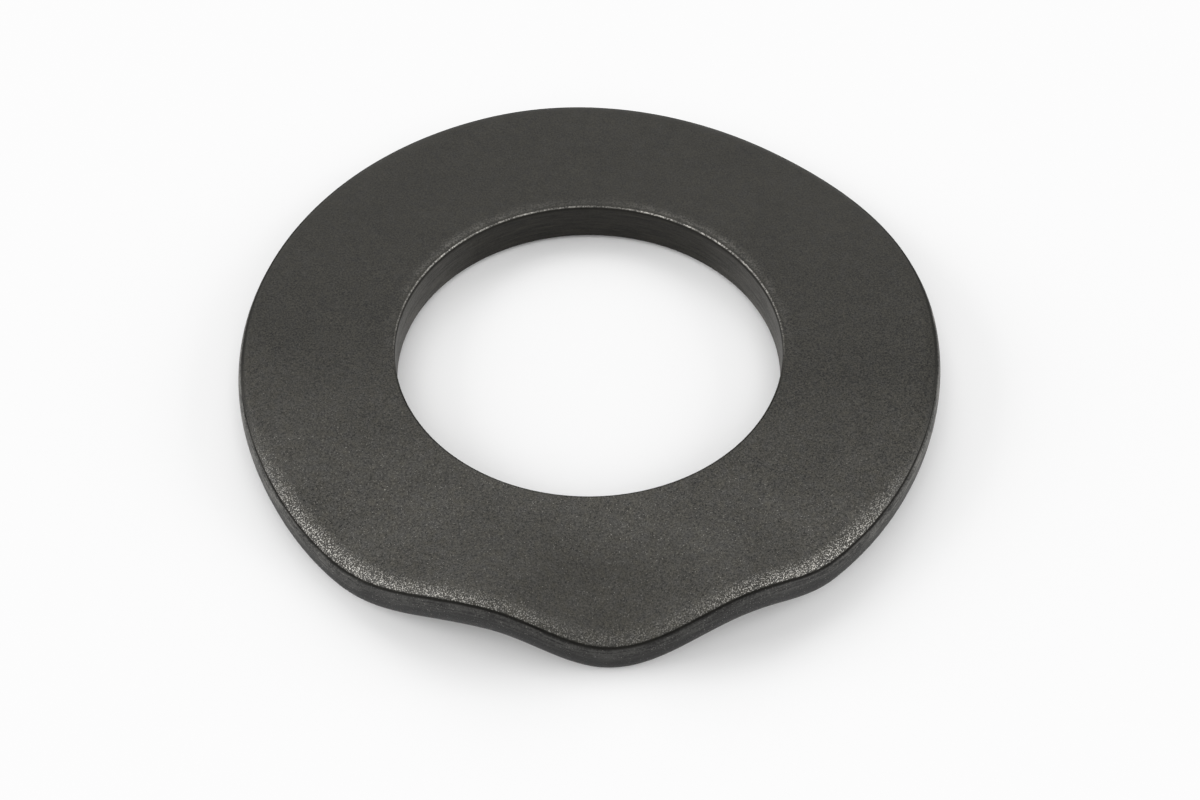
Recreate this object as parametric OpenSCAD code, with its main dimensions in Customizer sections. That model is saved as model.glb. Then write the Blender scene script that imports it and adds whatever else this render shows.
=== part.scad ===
// Wave washer: one ring of spring steel. Its outer rim is pressed into waves, which fade towards the
// bore. It lies on three troughs, with its underside at z = 0 there and its bore on the Z axis.
// Angles turn anticlockwise from +X, seen from above, so the front is at -90.

/* [Ring] */
// Diameter across the widest place of the outer wall
outer_d = 30.8; // [26:0.1:40]
// Diameter of the bore
bore_d = 17; // [10:0.1:20]
// Thickness of the steel
thickness = 2; // [1.2:0.1:3]

/* [Edges] */
// Width of the rolled shoulder round the outer top edge
shoulder_w = 0.8; // [0.2:0.05:1.5]
// How far the shoulder falls from the top face
shoulder_drop = 0.27; // [0.05:0.01:0.45]
// Height of the crease between the shoulder and the outer wall
crease_h = 0.14; // [0.06:0.01:0.2]
// Depth of that crease
crease_depth = 0.08; // [0.02:0.01:0.12]
// How far the outer wall bulges beyond the edge of the shoulder
wall_bulge = 0.2; // [0.02:0.01:0.3]
// How far the outer wall curves back in below its bulge, down to the flat underside
foot_w = 0.55; // [0.2:0.05:0.9]
// Radius of the bore's two edges
bore_round = 0.12; // [0.05:0.01:0.3]

/* [Wave heights] */
// Rise of the crest to the left of the front trough
left_crest_h = 1.9; // [0.2:0.05:4]
// Rise of the crest to the right of the front trough
right_crest_h = 1.7; // [0.2:0.05:4]
// Rise of the dip past the right crest
right_dip_h = 0.65; // [0:0.05:2]
// Rise of the long crest on the right side
side_crest_h = 1.1; // [0.2:0.05:4]
// Rise of the rim along the back
back_swell_h = 0.35; // [0:0.05:2]
// Rise of the low crest on the left side
left_swell_h = 0.6; // [0:0.05:2]
// Rise of the bore's rim at the front
bore_front_h = 0.9; // [0.4:0.05:2]
// Rise of the bore's rim at the back
bore_back_h = 0.2; // [0:0.05:2]
// How fast the wave fades from the outer rim to the bore: 1 is evenly, more keeps it near the rim
wave_fade = 1.5; // [1:0.1:3]

/* [Wave places] */
// Angle of the front trough
front_trough_angle = -86; // [-92:1:-80]
// Angle of the crest to its right
right_crest_angle = -65; // [-70:1:-60]
// Angle of the dip past the right crest
right_dip_angle = -48; // [-53:1:-40]
// Angle of the long crest on the right side
side_crest_angle = 3; // [-15:1:20]
// Angle of the back trough
back_trough_angle = 56; // [40:1:70]
// Angle where the rim has risen to its height along the back
back_swell_angle = 108; // [90:1:130]
// Angle of the low crest on the left side
left_swell_angle = 196; // [170:1:205]
// Angle of the left trough
left_trough_angle = 226; // [218:1:234]
// Angle of the crest between the left trough and the front trough
left_crest_angle = 254; // [244:1:260]

/* [Hidden] */

turn = 360;
steel_colour = [0.27, 0.27, 0.26];

// steps round the ring, and segments along each stretch of its section
ring_steps = 180;
face_steps = 3;
shoulder_steps = 6;
bulge_steps = 4;
foot_steps = 5;
bore_round_steps = 2;

// how far the shoulder's curve turns before the crease cuts it off
shoulder_turn = 75;
// the bore's edges are rounded down to this angle and then run straight on into the hole
bore_round_stop = 30;
// the outer wall is widest at this share of its height
bulge_place = 0.6;

outer_r = outer_d / 2;
bore_r = bore_d / 2;
// radius of the shoulder's edge, and of the places where the flat faces begin and end
edge_r = outer_r - wall_bulge;
face_in_r = bore_r + bore_round;
top_out_r = edge_r - shoulder_w;
base_out_r = outer_r - foot_w;
// heights of the outer wall's top and of its widest place
wall_top = thickness - shoulder_drop - crease_h;
bulge_z = wall_top * bulge_place;

// the outer rim's crests and troughs in turn, from the front trough round to itself: [angle, rise]
rim_wave = [
    [front_trough_angle, 0],
    [right_crest_angle, right_crest_h],
    [right_dip_angle, right_dip_h],
    [side_crest_angle, side_crest_h],
    [back_trough_angle, 0],
    [back_swell_angle, back_swell_h],
    [left_swell_angle, left_swell_h],
    [left_trough_angle, 0],
    [left_crest_angle, left_crest_h],
    [front_trough_angle + turn, 0]
];

function mix(from, to, share) = from + (to - from) * share;
function steps(from, to, count) = [for (i = [0:count]) mix(from, to, i / count)];

// half a cosine wave, level at both ends
function ease(share) = (1 - cos(180 * share)) / 2;

// rise of the outer rim at an angle between the front trough and one turn past it
function rim_rise(angle, i = 0) =
    angle > rim_wave[i + 1][0]
        ? rim_rise(angle, i + 1)
        : let (
            from = rim_wave[i],
            to = rim_wave[i + 1],
            share = (angle - from[0]) / (to[0] - from[0])
        ) mix(from[1], to[1], ease(share));

// rise of the bore's rim, which leans evenly from the front down to the back
function bore_rise(angle) = mix(bore_front_h, bore_back_h, (1 + sin(angle)) / 2);

// rise at any radius: from the bore's rim to the end of the flat underside, steeper towards the rim
function rise(angle, r) =
    mix(bore_rise(angle), rim_rise(angle),
        pow(max(r - bore_r, 0) / (base_out_r - bore_r), wave_fade));

function on_circle(centre, radius, angles) =
    [for (a = angles) centre + radius * [cos(a), sin(a)]];

// rolled shoulder: a quarter of an ellipse, cut off at shoulder_turn
function shoulder() = [
    for (a = steps(0, shoulder_turn, shoulder_steps)) [
        mix(top_out_r, edge_r, sin(a) / sin(shoulder_turn)),
        thickness - shoulder_drop * (1 - cos(a)) / (1 - cos(shoulder_turn))
    ]
];

// outer wall, from the crease down: a quarter of an ellipse out to the bulge and another one back in
function outer_wall() = concat(
    [
        for (a = steps(0, 90, bulge_steps))
            [mix(edge_r, outer_r, sin(a)), mix(bulge_z, wall_top, cos(a))]
    ],
    [
        for (a = steps(90, 0, foot_steps))
            if (a < 90) [mix(base_out_r, outer_r, sin(a)), bulge_z * (1 - cos(a))]
    ]
);

// the stretch of a flat face between its two ends, which the edges next to it already hold
function face(from_r, to_r, z) =
    [for (i = [1:face_steps - 1]) [mix(from_r, to_r, i / face_steps), z]];

// Section of the ring as [radius, height above its own underside], clockwise from the ridge that
// stands inside the bore. The bore cuts that ridge away and leaves the two rounded edges.
ridge_r = face_in_r - bore_round * cos(bore_round_stop)
    - (thickness / 2 - bore_round * (1 - sin(bore_round_stop))) * tan(bore_round_stop);
section = concat(
    [[ridge_r, thickness / 2]],
    on_circle([face_in_r, thickness - bore_round], bore_round,
        steps(180 - bore_round_stop, 90, bore_round_steps)),
    face(face_in_r, top_out_r, thickness),
    shoulder(),
    [[edge_r - crease_depth, wall_top + crease_h / 2]],
    outer_wall(),
    face(base_out_r, face_in_r, 0),
    on_circle([face_in_r, bore_round], bore_round,
        steps(270, 180 + bore_round_stop, bore_round_steps))
);

// the section swept round the axis and lifted by the wave at each step
module waved_ring() {
    count = len(section);
    points = [
        for (i = [0:ring_steps - 1])
            let (angle = front_trough_angle + turn * i / ring_steps)
            for (p = section)
                [p[0] * cos(angle), p[0] * sin(angle), p[1] + rise(angle, p[0])]
    ];
    faces = [
        for (i = [0:ring_steps - 1])
            for (j = [0:count - 1])
                let (
                    here = i * count,
                    next = (i + 1) % ring_steps * count,
                    k = (j + 1) % count
                )
                each [
                    [here + j, next + j, next + k],
                    [here + j, next + k, here + k]
                ]
    ];
    polyhedron(points, faces, convexity = 4);
}

// straight round hole, clear of the ring's highest and lowest points
module bore() {
    reach = thickness + max([for (p = rim_wave) p[1]]) + bore_front_h + bore_back_h;
    translate([0, 0, -reach])
        cylinder(h = 3 * reach, r = bore_r, $fn = 180);
}

module wave_washer() {
    color(steel_colour)
        difference() {
            waved_ring();
            bore();
        }
}

wave_washer();
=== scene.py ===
"""Wave washer: black phosphated spring steel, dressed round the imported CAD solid.

Lengths are metres in Blender and millimetres in the named values, apart from those that a comment
gives in metres. Angles are degrees, anticlockwise from +X seen from above, so the front of the washer
is at -90.
"""

import math
from types import SimpleNamespace

import bpy
import numpy as np
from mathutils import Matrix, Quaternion, Vector


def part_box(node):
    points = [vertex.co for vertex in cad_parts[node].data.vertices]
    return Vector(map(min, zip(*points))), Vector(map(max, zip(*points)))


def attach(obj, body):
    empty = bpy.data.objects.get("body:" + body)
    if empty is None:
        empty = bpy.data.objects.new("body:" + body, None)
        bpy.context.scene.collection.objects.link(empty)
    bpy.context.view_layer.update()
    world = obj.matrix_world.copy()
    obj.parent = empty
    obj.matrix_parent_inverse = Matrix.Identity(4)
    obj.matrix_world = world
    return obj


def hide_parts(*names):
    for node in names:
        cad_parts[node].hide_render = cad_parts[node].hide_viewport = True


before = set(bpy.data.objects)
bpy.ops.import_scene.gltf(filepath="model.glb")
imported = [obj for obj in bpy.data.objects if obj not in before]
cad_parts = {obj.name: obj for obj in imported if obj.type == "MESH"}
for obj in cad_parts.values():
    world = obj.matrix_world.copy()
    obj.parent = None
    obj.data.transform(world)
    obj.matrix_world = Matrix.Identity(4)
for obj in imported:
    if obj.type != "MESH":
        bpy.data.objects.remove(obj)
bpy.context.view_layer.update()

MM = 0.001

# ------------------------------------------------------------------ the ring, as the CAD solid has it
NODE = "wave_washer"
THICKNESS = 2
BORE_R = 8.5
OUTER_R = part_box(NODE)[1].x / MM
SHOULDER_W = 0.8
SHOULDER_DROP = 0.27
SHOULDER_TURN = 75
CREASE_H = 0.14
CREASE_DEPTH = 0.08
WALL_BULGE = 0.2
BULGE_PLACE = 0.6
FOOT_W = 0.55
BORE_ROUND = 0.12
BORE_FRONT_H = 0.9
BORE_BACK_H = 0.2
WAVE_FADE = 1.5

# crests and troughs of the outer rim, from the front trough round to itself: (angle, rise)
RIM_WAVE = [
    (-86, 0), (-65, 1.7), (-48, 0.65), (3, 1.1), (56, 0),
    (108, 0.35), (196, 0.6), (226, 0), (254, 1.9), (274, 0),
]

EDGE_R = OUTER_R - WALL_BULGE
FACE_IN_R = BORE_R + BORE_ROUND
TOP_OUT_R = EDGE_R - SHOULDER_W
BASE_OUT_R = OUTER_R - FOOT_W
WALL_TOP = THICKNESS - SHOULDER_DROP - CREASE_H
BULGE_Z = WALL_TOP * BULGE_PLACE

# how finely the mesh is cut: steps round the ring, and points along each stretch of the section
RING_STEPS = 690
BORE_WALL_POINTS = 12
BORE_ROUND_POINTS = 17
FACE_POINTS = 40
SHOULDER_POINTS = 26
BARREL_POINTS = 16
BASE_POINTS = 14
LOWER_ROUND_POINTS = 6

# ------------------------------------------------------------------ where the finish is worn, and where highlights and shade are painted
# the shoulder carries wear and a painted highlight over this width inside its edge, and fully over the
# narrower one
WEAR_AND_HIGHLIGHT_W = 0.7
WEAR_AND_HIGHLIGHT_FULL_W = 0.2
# a painted shade line starts this far inside the shoulder's edge, and is full after the second width
RIM_SHADE_W = 0.18
RIM_SHADE_FADE_W = 0.1
# painted shade of the crease reaches this far in from the shoulder's edge, and this many degrees down the
# barrel
CREASE_SHADE_W = 0.03
CREASE_SHADE_TURN = 20
# shares of the bore's upper round, from the wall to the face: the middle and half width of its line of
# wear and painted highlight, where its painted shade ends, and over how much of it the front edge's
# painted shade fades out at the face
LIP_MIDDLE = 0.62
LIP_HALF = 0.26
LIP_SHADE_END = 0.3
LIP_SHADE_FADE = 0.25
# the bore's wear and painted highlight run on a little over the face as a painted glow: how much, and how
# far
LIP_ON_FACE = 0.12
LIP_ON_FACE_W = 0.5

# places along the ring with wear and painted highlights: (middle angle, degrees to either side, how much)
RIM_WEAR_AND_HIGHLIGHT = [(226, 34, 0.95), (309, 30, 1), (254, 16, 0.25), (268, 80, 0.2)]
BORE_WEAR_AND_HIGHLIGHT = [(130, 40, 0.6), (50, 40, 0.65)]
BORE_WEAR_AND_HIGHLIGHT_ALL_ROUND = 0.35
# how sharply wear, painted highlights and painted shade change between the ring's front and back,
# and how far they reach over
HALF_CHANGE = 2.5
BORE_HIGHLIGHT_SHIFT = 0.5
RIM_SHADE_SHIFT = 1
# the walls are painted lighter, as a sheen, from this much sideways, and fully after the second amount
# more
SHEEN_START = 0.6
SHEEN_FADE = 0.38


def clamp(value):
    """The value, held between 0 and 1."""
    return min(1, max(0, value))


def backness(angle):
    """1 at the back of the ring, -1 at its front."""
    return math.sin(math.radians(angle))


def around(angle, middle, half_width):
    """1 at the middle angle, falling smoothly to 0 at half_width degrees to either side."""
    off = abs((angle - middle + 180) % 360 - 180)
    return (1 + math.cos(math.pi * min(off / half_width, 1))) / 2


def wear_and_highlight_at(angle, places, everywhere=0):
    """Wear and painted highlight from all the places together, at most 1."""
    return min(1, sum((much * around(angle, middle, half) for middle, half, much in places), everywhere))


def bore_wear_and_highlight_at(angle):
    """Wear and painted highlight of the bore's upper edge, which is along the back."""
    back = clamp(backness(angle) * HALF_CHANGE + BORE_HIGHLIGHT_SHIFT)
    return back * wear_and_highlight_at(angle, BORE_WEAR_AND_HIGHLIGHT, BORE_WEAR_AND_HIGHLIGHT_ALL_ROUND)


def side_sheen_at(angle):
    """How much both walls are painted lighter as a sheen, which is along the ring's two sides."""
    return clamp((abs(math.cos(math.radians(angle))) - SHEEN_START) / SHEEN_FADE)


# how strong each mask of the section is at an angle
# wear with painted highlights on the rim and the bore's back edge, painted shade on the other edges and
# in the crease
MASKS = {
    "rub": lambda angle: wear_and_highlight_at(angle, RIM_WEAR_AND_HIGHLIGHT),
    "bore_wear_and_highlight": bore_wear_and_highlight_at,
    "bore_edge_shade": lambda angle: clamp(-backness(angle) * HALF_CHANGE),
    "rim_edge_shade": lambda angle: clamp(backness(angle) * HALF_CHANGE + RIM_SHADE_SHIFT),
    "hollow": lambda angle: 1,
    "bore_wall": lambda angle: 1,
    "outer_wall": lambda angle: 1,
}


# ------------------------------------------------------------------ the section
# Each point is (radius, height, masks), and the stretches below run clockwise from the foot of the
# bore's wall. The masks go from 0 to 1, and one that isn't given is 0. They say where edges are worn
# and carry a painted highlight, where edges carry painted shade, where shade is painted in the crease and
# which wall a point is on.
def bore_points():
    """The bore's wall and its upper round."""
    for z in np.linspace(BORE_ROUND, THICKNESS - BORE_ROUND, BORE_WALL_POINTS)[:-1]:
        yield BORE_R, z, {"bore_wall": 1}
    for share in np.linspace(0, 1, BORE_ROUND_POINTS):
        turn = math.radians(180 - 90 * share)
        # a thin line of wear and painted highlight, painted shade along the front edge, and painted shade
        # under the line
        masks = {
            "bore_wear_and_highlight": max(0, 1 - abs(share - LIP_MIDDLE) / LIP_HALF),
            "bore_edge_shade": min(1, (1 - share) / LIP_SHADE_FADE),
            "hollow": 1 if share < LIP_SHADE_END else 0,
        }
        r = FACE_IN_R + BORE_ROUND * math.cos(turn)
        yield r, THICKNESS - BORE_ROUND + BORE_ROUND * math.sin(turn), masks


def top_points():
    """The flat face and the rolled shoulder."""
    # the bore's wear and painted highlight run on over the face as a faint painted glow
    for r in np.linspace(FACE_IN_R, TOP_OUT_R, FACE_POINTS)[1:-1]:
        yield r, THICKNESS, {"bore_wear_and_highlight": max(0, LIP_ON_FACE * (1 - (r - FACE_IN_R) / LIP_ON_FACE_W))}
    end = math.radians(SHOULDER_TURN)
    for turn in np.linspace(0, end, SHOULDER_POINTS):
        r = TOP_OUT_R + SHOULDER_W * math.sin(turn) / math.sin(end)
        # wear and a painted highlight on the shoulder, painted shade at its edge and at the crease's
        # start
        masks = {
            "rub": clamp((r - EDGE_R + WEAR_AND_HIGHLIGHT_W) / (WEAR_AND_HIGHLIGHT_W - WEAR_AND_HIGHLIGHT_FULL_W)),
            "rim_edge_shade": clamp((r - EDGE_R + RIM_SHADE_W) / RIM_SHADE_FADE_W),
            "hollow": max(0, 1 - (EDGE_R - r) / CREASE_SHADE_W),
        }
        yield r, THICKNESS - SHOULDER_DROP * (1 - math.cos(turn)) / (1 - math.cos(end)), masks


def outer_points():
    """The crease and the barrel of the outer wall."""
    # the crease is painted in shade, and so is the barrel's top just below it
    for share in (0.25, 0.5, 0.75):
        depth = CREASE_DEPTH * (1 - abs(2 * share - 1))
        yield EDGE_R - depth, WALL_TOP + CREASE_H * (1 - share), {"hollow": 1}
    for degrees in np.linspace(0, 90, BARREL_POINTS):
        turn = math.radians(degrees)
        z = BULGE_Z + (WALL_TOP - BULGE_Z) * math.cos(turn)
        masks = {"outer_wall": 1, "hollow": max(0, 1 - degrees / CREASE_SHADE_TURN)}
        yield EDGE_R + WALL_BULGE * math.sin(turn), z, masks
    for degrees in np.linspace(90, 0, BARREL_POINTS)[1:]:
        turn = math.radians(degrees)
        yield BASE_OUT_R + FOOT_W * math.sin(turn), BULGE_Z * (1 - math.cos(turn)), {"outer_wall": 1}


def under_points():
    """The flat underside and the bore's lower round."""
    for r in np.linspace(BASE_OUT_R, FACE_IN_R, BASE_POINTS)[1:]:
        yield r, 0, {}
    for degrees in np.linspace(270, 180, LOWER_ROUND_POINTS)[1:-1]:
        turn = math.radians(degrees)
        z = BORE_ROUND + BORE_ROUND * math.sin(turn)
        yield FACE_IN_R + BORE_ROUND * math.cos(turn), z, {"bore_wall": 1}


# ------------------------------------------------------------------ the ring's mesh
def rim_rise(angle):
    """Rise of the outer rim: half cosine waves between the crests and troughs."""
    start = RIM_WAVE[0][0]
    angle = (angle - start) % 360 + start
    for (a0, h0), (a1, h1) in zip(RIM_WAVE, RIM_WAVE[1:]):
        if angle <= a1:
            share = (angle - a0) / (a1 - a0)
            return h0 + (h1 - h0) * (1 - math.cos(math.pi * share)) / 2
    return RIM_WAVE[-1][1]


def bore_rise(angle):
    """Rise of the bore's rim, which leans evenly from the front down to the back."""
    share = (1 + backness(angle)) / 2
    return BORE_FRONT_H + (BORE_BACK_H - BORE_FRONT_H) * share


def swept(profile, angles):
    """The section's points at each angle, lifted by the wave and never below the floor."""
    for angle in angles:
        c, s = math.cos(math.radians(angle)), math.sin(math.radians(angle))
        inner, outer = bore_rise(angle), rim_rise(angle)
        for r, z, _ in profile:
            rise = inner + (outer - inner) * ((r - BORE_R) / (BASE_OUT_R - BORE_R)) ** WAVE_FADE
            yield r * c * MM, r * s * MM, max(0, z + rise) * MM


def skin(count):
    """Faces that join each copy of the section to the next, and the last to the first."""
    for i in range(RING_STEPS):
        here, there = i * count, (i + 1) % RING_STEPS * count
        for j in range(count):
            k = (j + 1) % count
            yield here + j, here + k, there + k, there + j


def write_layer(mesh, name, by_angle, by_point):
    """A value at each vertex: what its angle gives times what its point of the section gives."""
    layer = mesh.attributes.new(name, "FLOAT", "POINT")
    layer.data.foreach_set("value", np.outer(by_angle, by_point).ravel())


def make_ring():
    """The section swept round the axis, with its masks written on the vertices."""
    profile = [*bore_points(), *top_points(), *outer_points(), *under_points()]
    angles = [360 * i / RING_STEPS for i in range(RING_STEPS)]
    faces = list(skin(len(profile)))
    mesh = bpy.data.meshes.new("phosphated_ring")
    mesh.from_pydata(list(swept(profile, angles)), [], faces)
    mesh.polygons.foreach_set("use_smooth", [True] * len(faces))
    for name, strength in MASKS.items():
        write_layer(mesh, name, [strength(a) for a in angles], [p[2].get(name, 0) for p in profile])
    # the walls' painted sheen along the ring's sides
    write_layer(mesh, "side", [side_sheen_at(a) for a in angles], [1] * len(profile))
    write_layer(mesh, "level", [1] * RING_STEPS, [p[1] for p in profile])
    mesh.update()
    ring = bpy.data.objects.new("phosphated_ring", mesh)
    bpy.context.scene.collection.objects.link(ring)
    return ring


# ------------------------------------------------------------------ finish
WARM_COAT = (0.0296, 0.0278, 0.0228)
COOL_COAT = (0.0292, 0.0282, 0.0256)
# the walls, between the scored lines and on them: shaded copies away from the ring's sides, and copies
# painted lighter as a sheen along them
SHADED_WALL = ((0.005, 0.0046, 0.0044), (0.044, 0.043, 0.040))
SHEEN_WALL = ((0.007, 0.0068, 0.006), (0.150, 0.146, 0.135))
SHADED_BORE = ((0.003, 0.0024, 0.0014), (0.020, 0.018, 0.013))
SHEEN_BORE = ((0.024, 0.023, 0.020), (0.085, 0.080, 0.072))
# bright steel, for wear and for painted glints and highlights
BARE_STEEL_AND_GLINT = (0.60, 0.58, 0.535)
# painted shade for the crease and the darker edges
PAINTED_SHADE_COLOUR = (0.008, 0.0075, 0.006)

# noises over the steel: (scale, detail, roughness)
NOISES = {
    "cloud": (0.35, 3, 0.5), "mottle": (1.7, 3, 0.5), "tint": (2.6, 2, 0.5),
    "grain": (11.0, 2, 0.6), "glint": (18.0, 1, 0.7), "crystal": (20.0, 1, 0.5),
}
# the marks round the walls: their noise, drawn out along the wall and packed close in height
STREAK = (1.0, 4.0, 0.65)
STREAK_ALONG = 0.7
STREAK_UP = 12.0
# spans that most of a noise's values fall in: of broad patterns, of their middle, and of fine grain
BROAD = (0.3, 0.7)
MIDDLE = (0.35, 0.65)
FINE = (0.25, 0.75)

# painted light: the coat is painted lighter over this distance ahead of the bore's axis, sooner at the
# left, and in clouds
FRONT_LIGHT_AHEAD = (0.5, 8.5)
FRONT_LIGHT_TO_LEFT = 0.12
FRONT_LIGHT_BY_CLOUD = (0.75, 1.2)
# the painted light is weaker amid the front trough, which paints shade there: how much, and where that
# fades sideways and starts ahead
TROUGH_SHADE = 0.42
TROUGH_X = (1.5, 5.0)
TROUGH_Y = (-9.5, -12.0)

# the coat's tone, what the painted front light adds to it, and how far each noise takes it up and down
COAT_TONE = 0.87
FRONT_LIGHT_TONE = 0.68
CLOUD_TONE = 0.06
MOTTLE_TONE = 0.08
GRAIN_TONE = 1.0
CRYSTAL_TONE = 0.7
DARKEST_TONE = 0.1
# the grain gets stronger from the back to the front, and less so amid the front trough
GRAINY_Y = (8.0, -9.0)
GRAINY = (0.42, 1.2)
TROUGH_PLAINER = 0.9
# how cool the coat's colour is, by the tint noise and by the painted front light
COOL_BY_TINT = (-0.3, 0.6)
COOL_BY_FRONT_LIGHT = 0.42

# scored lines of the outer wall: each noise's span and what it gives, and how mottling changes them
SCORED_STREAK = ((0.42, 0.6), (0.0, 0.7))
SCORED_GRAIN = ((0.42, 0.62), (0.0, 0.6))
SCORED_BY_MOTTLE = (0.7, 1.15)
# they are faint at the wall's foot and full above, which paints shade on the wall's lower part: the
# heights, and how strong they are there
SCORED_BY_LEVEL = ((0.9, 1.3), (0.15, 1.0))
BORE_STREAK = (0.35, 0.7)

# bright grains, of wear and painted glints: the span of the glint noise on the worn shoulder, and that of
# painted glint flecks where front light is painted
SHOULDER_GLINT = (0.55, 0.63)
FLECK_GLINT = (0.68, 0.75)
FLECK_GLINT_SHARE = (0.0, 0.4)
# bright grains of the bore's edge, of wear and painted glints: each noise's span and what it gives, and
# how mottling changes them
LIP_GLINT = ((0.46, 0.62), (0.0, 0.9))
LIP_GRAIN = ((0.46, 0.64), (0.05, 0.9))
LIP_BY_MOTTLE = (0.45, 1.4)
# how mottling varies the painted shade
SHADE_BY_MOTTLE = (0.7, 1.0)

ROUGHNESS = (0.46, 0.66)
# rougher where shade is painted
SHADE_ROUGHNESS = 0.4
SPECULAR = 0.27
BUMP_HEIGHT = 0.01
GRAIN_BUMP = 0.6
CRYSTAL_BUMP = 0.4


class Paint:
    """Adds nodes to a material. A socket given as a value is linked, and anything else is set."""

    def __init__(self, material):
        self.nodes = material.node_tree.nodes
        self.links = material.node_tree.links

    def give(self, socket, value):
        if isinstance(value, bpy.types.NodeSocket):
            self.links.new(value, socket)
        else:
            socket.default_value = value

    def add(self, kind, inputs=None, **settings):
        node = self.nodes.new(kind)
        for key, value in settings.items():
            setattr(node, key, value)
        for key, value in (inputs or {}).items():
            self.give(node.inputs[key], value)
        return node

    def noise(self, where, scale, detail, rough):
        inputs = {"Vector": where, "Scale": scale, "Detail": detail, "Roughness": rough}
        return self.add("ShaderNodeTexNoise", inputs).outputs["Fac"]

    def mask(self, name):
        return self.add("ShaderNodeAttribute", attribute_name=name).outputs["Fac"]

    def reckon(self, operation, a, b=0.0, clamped=False):
        return self.add("ShaderNodeMath", {0: a, 1: b}, operation=operation, use_clamp=clamped).outputs[0]

    def plus(self, a, b, clamped=False):
        return self.reckon("ADD", a, b, clamped)

    def times(self, a, b, clamped=False):
        return self.reckon("MULTIPLY", a, b, clamped)

    def larger(self, a, b):
        return self.reckon("MAXIMUM", a, b)

    def one_less(self, a):
        return self.reckon("SUBTRACT", 1.0, a)

    def ramp(self, value, span, result=(0.0, 1.0)):
        """The value's span taken to the result's, and held inside it."""
        inputs = {"Value": value, "From Min": span[0], "From Max": span[1],
                  "To Min": result[0], "To Max": result[1]}
        return self.add("ShaderNodeMapRange", inputs).outputs["Result"]

    def swing(self, value, span, much):
        """The value's span taken to as far below 0 as above it."""
        return self.ramp(value, span, (-much, much))

    def blend(self, share, a, b):
        """Colour a where the share is 0, and b where it is 1."""
        node = self.add("ShaderNodeMix", data_type="RGBA")
        self.give(node.inputs["Factor"], share)
        for socket, colour in ((node.inputs[6], a), (node.inputs[7], b)):
            self.give(socket, (*colour, 1) if isinstance(colour, tuple) else colour)
        return node.outputs[2]


def read_steel(paint):
    """What the finish is painted from: the place in millimetres, the masks and the noises."""
    coord = paint.add("ShaderNodeTexCoord").outputs["Object"]
    per_mm = 1 / MM
    where = paint.add("ShaderNodeVectorMath", {0: coord, 1: (per_mm, per_mm, per_mm)},
                      operation="MULTIPLY").outputs[0]
    place = paint.add("ShaderNodeSeparateXYZ", {0: where})
    noises = {name: paint.noise(where, *settings) for name, settings in NOISES.items()}
    steel = SimpleNamespace(x=place.outputs[0], y=place.outputs[1], **noises)
    steel.rub, steel.level, steel.side = paint.mask("rub"), paint.mask("level"), paint.mask("side")
    # painted shade of the edges and of the crease, taken together
    dim = paint.larger(paint.mask("bore_edge_shade"), paint.mask("rim_edge_shade"))
    steel.hollow = paint.larger(paint.mask("hollow"), dim)
    along = paint.add("ShaderNodeCombineXYZ", {
        0: paint.times(steel.x, STREAK_ALONG), 1: paint.times(steel.y, STREAK_ALONG),
        2: paint.times(steel.level, STREAK_UP)})
    steel.streak = paint.noise(along.outputs[0], *STREAK)
    return steel


def add_thinness(paint, steel):
    """Painted light: the coat is painted lighter over the front half, in clouds, and less amid the front
    trough.
    """
    ahead = paint.plus(paint.times(steel.y, -1.0), paint.times(steel.x, -FRONT_LIGHT_TO_LEFT))
    steel.amid = paint.times(
        paint.ramp(paint.reckon("ABSOLUTE", steel.x), TROUGH_X, (TROUGH_SHADE, 0.0)),
        paint.ramp(steel.y, TROUGH_Y))
    thin = paint.times(paint.ramp(ahead, FRONT_LIGHT_AHEAD), paint.one_less(steel.amid))
    steel.thin = paint.times(thin, paint.ramp(steel.cloud, BROAD, FRONT_LIGHT_BY_CLOUD))


def coat_colour(paint, steel):
    """The coat: clouds, mottling and grain, with painted light over the front, and grainiest at the
    front.
    """
    broad = paint.plus(paint.swing(steel.cloud, BROAD, CLOUD_TONE),
                       paint.swing(steel.mottle, BROAD, MOTTLE_TONE))
    fine = paint.plus(paint.swing(steel.grain, FINE, GRAIN_TONE),
                      paint.swing(steel.crystal, FINE, CRYSTAL_TONE))
    grainy = paint.times(paint.ramp(steel.y, GRAINY_Y, GRAINY),
                         paint.one_less(paint.times(steel.amid, TROUGH_PLAINER)))
    tone = paint.plus(broad, paint.times(fine, grainy))
    tone = paint.plus(tone, paint.plus(paint.times(steel.thin, FRONT_LIGHT_TONE), COAT_TONE))
    tone = paint.larger(tone, DARKEST_TONE)
    cool = paint.plus(paint.ramp(steel.tint, BROAD, COOL_BY_TINT),
                      paint.times(steel.thin, COOL_BY_FRONT_LIGHT), clamped=True)
    hue = paint.blend(cool, WARM_COAT, COOL_COAT)
    return paint.add("ShaderNodeVectorMath", {0: hue, "Scale": tone}, operation="SCALE").outputs[0]


def with_walls(paint, steel, colour):
    """The walls with their scored lines, painted lighter as a sheen along the ring's sides and painted in
    shade elsewhere.
    """
    scored = paint.plus(paint.ramp(steel.streak, *SCORED_STREAK), paint.ramp(steel.grain, *SCORED_GRAIN))
    scored = paint.times(scored, paint.ramp(steel.mottle, MIDDLE, SCORED_BY_MOTTLE))
    # fading the scored lines towards the foot paints the lower wall in shade
    scored = paint.times(scored, paint.ramp(steel.level, *SCORED_BY_LEVEL), clamped=True)
    outer = paint.blend(steel.side, paint.blend(scored, *SHADED_WALL), paint.blend(scored, *SHEEN_WALL))
    colour = paint.blend(paint.mask("outer_wall"), colour, outer)
    lines = paint.ramp(steel.streak, BORE_STREAK)
    bore = paint.blend(steel.side, paint.blend(lines, *SHADED_BORE), paint.blend(lines, *SHEEN_BORE))
    return paint.blend(paint.mask("bore_wall"), colour, bore)


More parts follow.
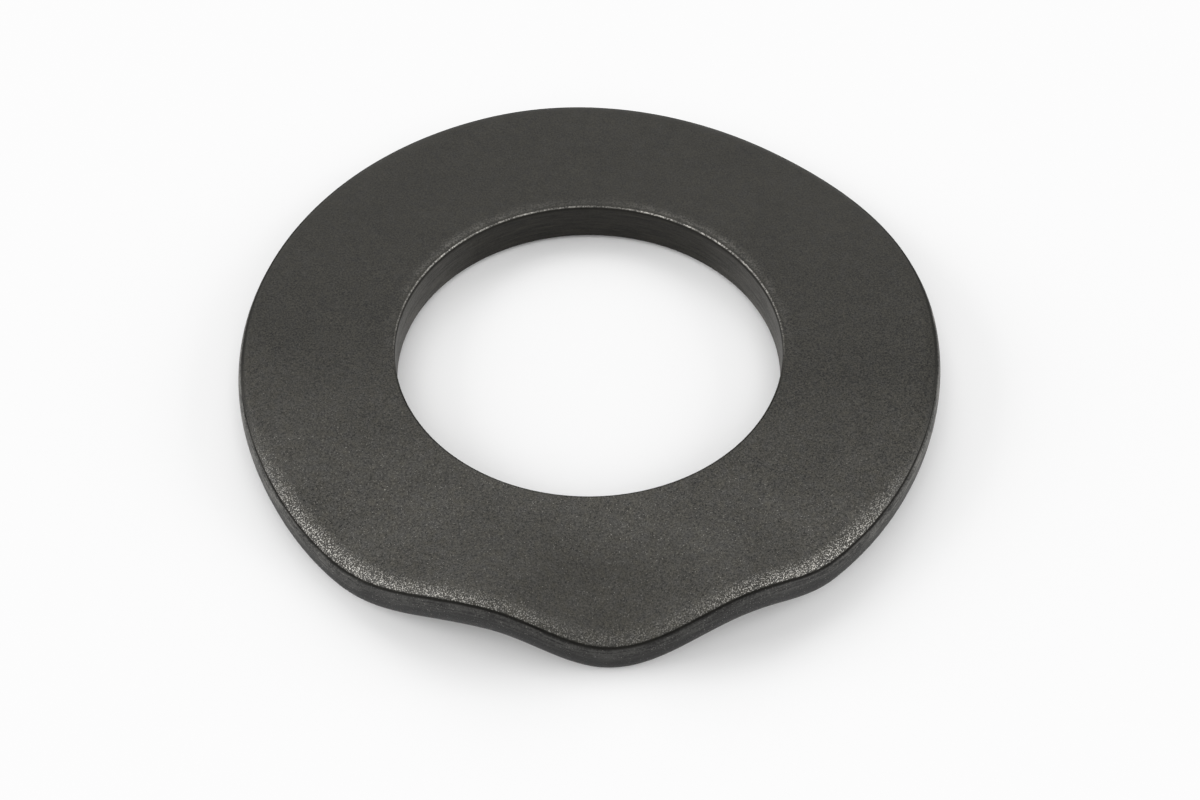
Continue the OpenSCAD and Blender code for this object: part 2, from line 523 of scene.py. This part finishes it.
def with_wear_and_glints(paint, steel, colour):
    """Bright grains, of wear and painted glints, on the shoulder, on the bore's edge and as flecks where
    front light is painted.
    """
    rubbed = paint.times(steel.rub, paint.ramp(steel.glint, SHOULDER_GLINT))
    flecks = paint.times(steel.thin, paint.ramp(steel.glint, FLECK_GLINT, FLECK_GLINT_SHARE))
    colour = paint.blend(paint.larger(rubbed, flecks), colour, BARE_STEEL_AND_GLINT)
    lip = paint.plus(paint.ramp(steel.glint, *LIP_GLINT), paint.ramp(steel.grain, *LIP_GRAIN))
    lip = paint.times(lip, paint.ramp(steel.mottle, MIDDLE, LIP_BY_MOTTLE))
    lip = paint.times(paint.mask("bore_wear_and_highlight"), lip, clamped=True)
    return paint.blend(lip, colour, BARE_STEEL_AND_GLINT)


def with_painted_shade(paint, steel, colour):
    """Painted shade in the crease and on the darker edges."""
    share = paint.times(steel.hollow, paint.ramp(steel.mottle, BROAD, SHADE_BY_MOTTLE))
    return paint.blend(share, colour, PAINTED_SHADE_COLOUR)


def grainy_normal(paint, steel):
    """Low bumps of grain and crystals, stronger where the shoulder is worn and has its painted highlight.
    """
    height = paint.plus(paint.times(steel.grain, GRAIN_BUMP), paint.times(steel.crystal, CRYSTAL_BUMP))
    height = paint.times(height, paint.plus(1.0, steel.rub))
    inputs = {"Height": height, "Strength": 1.0, "Distance": BUMP_HEIGHT * MM}
    return paint.add("ShaderNodeBump", inputs).outputs["Normal"]


def make_steel():
    """Black phosphate on spring steel: a dark, slightly warm matt coat of fine crystals."""
    material = bpy.data.materials.new("black_phosphate")
    material.use_nodes = True
    paint = Paint(material)
    shader = paint.nodes["Principled BSDF"]
    steel = read_steel(paint)
    add_thinness(paint, steel)
    colour = with_walls(paint, steel, coat_colour(paint, steel))
    colour = with_painted_shade(paint, steel, with_wear_and_glints(paint, steel, colour))
    rough = paint.plus(paint.ramp(steel.grain, FINE, ROUGHNESS),
                       paint.times(steel.hollow, SHADE_ROUGHNESS), clamped=True)
    paint.give(shader.inputs["Base Color"], colour)
    paint.give(shader.inputs["Roughness"], rough)
    paint.give(shader.inputs["Specular IOR Level"], SPECULAR)
    paint.give(shader.inputs["Normal"], grainy_normal(paint, steel))
    return material


# ------------------------------------------------------------------ floor, light and camera
# half the floor's width in metres, its tone and its roughness
FLOOR_HALF = 0.6
FLOOR_TONE = 0.93
FLOOR_ROUGHNESS = 0.9

# large soft lamps in front of the white surround: (name, azimuth, elevation, size, watts)
LAMPS = [
    ("front", 270, 50, 0.8, 3.6), ("back", 95, 50, 0.8, 2.7),
    ("left", 180, 25, 0.7, 6.4), ("right", 0, 25, 0.7, 5.1),
]
# the lamps' sizes, above, and their distance from the origin are in metres
LAMP_DISTANCE = 1.0
SURROUND = 0.44

CAMERA_AZIMUTH = -0.3
CAMERA_ELEVATION = 51.5
CAMERA_DISTANCE = 107.1
CAMERA_AIM = (0.49, -1.14, 0)
CAMERA_ROLL = 0.13
CAMERA_LENS = 72.4
SENSOR_WIDTH = 36
# the nearest and the farthest that the camera sees, in metres
CAMERA_NEAR = 0.005
CAMERA_FAR = 10

# the picture's response to light, straight up to the first point's light: (light, brightness)
WHITE_LIGHT = 1.4
SOFT_WHITES = [(0.7, 0.7), (0.9, 0.875), (1.1, 0.96), (WHITE_LIGHT, 0.985)]
# the place, among the response's curves, of the one for all colours together
ALL_COLOURS = 3


def make_floor():
    """A plain pale sheet that the washer lies on."""
    half = FLOOR_HALF
    mesh = bpy.data.meshes.new("floor")
    mesh.from_pydata([(-half, -half, 0), (half, -half, 0), (half, half, 0), (-half, half, 0)],
                     [], [(0, 1, 2, 3)])
    floor = bpy.data.objects.new("floor", mesh)
    bpy.context.scene.collection.objects.link(floor)
    material = bpy.data.materials.new("pale_floor")
    material.use_nodes = True
    shader = material.node_tree.nodes["Principled BSDF"]
    shader.inputs["Base Color"].default_value = (FLOOR_TONE, FLOOR_TONE, FLOOR_TONE, 1)
    shader.inputs["Roughness"].default_value = FLOOR_ROUGHNESS
    shader.inputs["Specular IOR Level"].default_value = 0.0
    mesh.materials.append(material)


def make_lamp(name, azimuth, elevation, size, watts):
    """A square lamp that faces the washer."""
    azimuth, elevation = math.radians(azimuth), math.radians(elevation)
    lamp = bpy.data.lights.new(name, "AREA")
    lamp.shape = "SQUARE"
    lamp.size = size
    lamp.energy = watts
    holder = bpy.data.objects.new(name, lamp)
    holder.location = LAMP_DISTANCE * Vector((
        math.cos(azimuth) * math.cos(elevation), math.sin(azimuth) * math.cos(elevation),
        math.sin(elevation)))
    holder.rotation_euler = (-holder.location).to_track_quat("-Z", "Y").to_euler()
    bpy.context.scene.collection.objects.link(holder)


def make_surround():
    """An even white light from all sides."""
    world = bpy.data.worlds.new("surround")
    world.use_nodes = True
    background = world.node_tree.nodes["Background"]
    background.inputs["Color"].default_value = (1, 1, 1, 1)
    background.inputs["Strength"].default_value = SURROUND
    bpy.context.scene.world = world


def make_camera():
    """The photograph's view: from the front, about 50 degrees above the floor."""
    azimuth, elevation = math.radians(CAMERA_AZIMUTH), math.radians(CAMERA_ELEVATION)
    back = Vector((math.sin(azimuth) * math.cos(elevation),
                   -math.cos(azimuth) * math.cos(elevation), math.sin(elevation)))
    camera = bpy.data.objects.new("camera", bpy.data.cameras.new("camera"))
    camera.location = (Vector(CAMERA_AIM) + back * CAMERA_DISTANCE) * MM
    camera.rotation_mode = "QUATERNION"
    roll = Quaternion((0, 0, 1), math.radians(CAMERA_ROLL))
    camera.rotation_quaternion = back.to_track_quat("Z", "Y") @ roll
    camera.data.lens = CAMERA_LENS
    camera.data.sensor_width = SENSOR_WIDTH
    camera.data.clip_start = CAMERA_NEAR
    camera.data.clip_end = CAMERA_FAR
    bpy.context.scene.collection.objects.link(camera)
    bpy.context.scene.camera = camera


def set_tone():
    """Standard colours, with the lightest tones of the floor eased off below full white."""
    view = bpy.context.scene.view_settings
    view.view_transform = "Standard"
    view.use_curve_mapping = True
    response = view.curve_mapping
    response.white_level = (WHITE_LIGHT, WHITE_LIGHT, WHITE_LIGHT)
    curve = response.curves[ALL_COLOURS]
    curve.points[-1].location = (1, SOFT_WHITES[-1][1])
    for light, brightness in SOFT_WHITES[:-1]:
        curve.points.new(light / WHITE_LIGHT, brightness)
    curve.points[0].handle_type = "VECTOR"
    curve.points[1].handle_type = "VECTOR"
    response.update()


make_camera()
for lamp_settings in LAMPS:
    make_lamp(*lamp_settings)
make_surround()
make_floor()
ring = make_ring()
ring.data.materials.append(make_steel())
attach(ring, "root")
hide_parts(NODE)

set_tone()
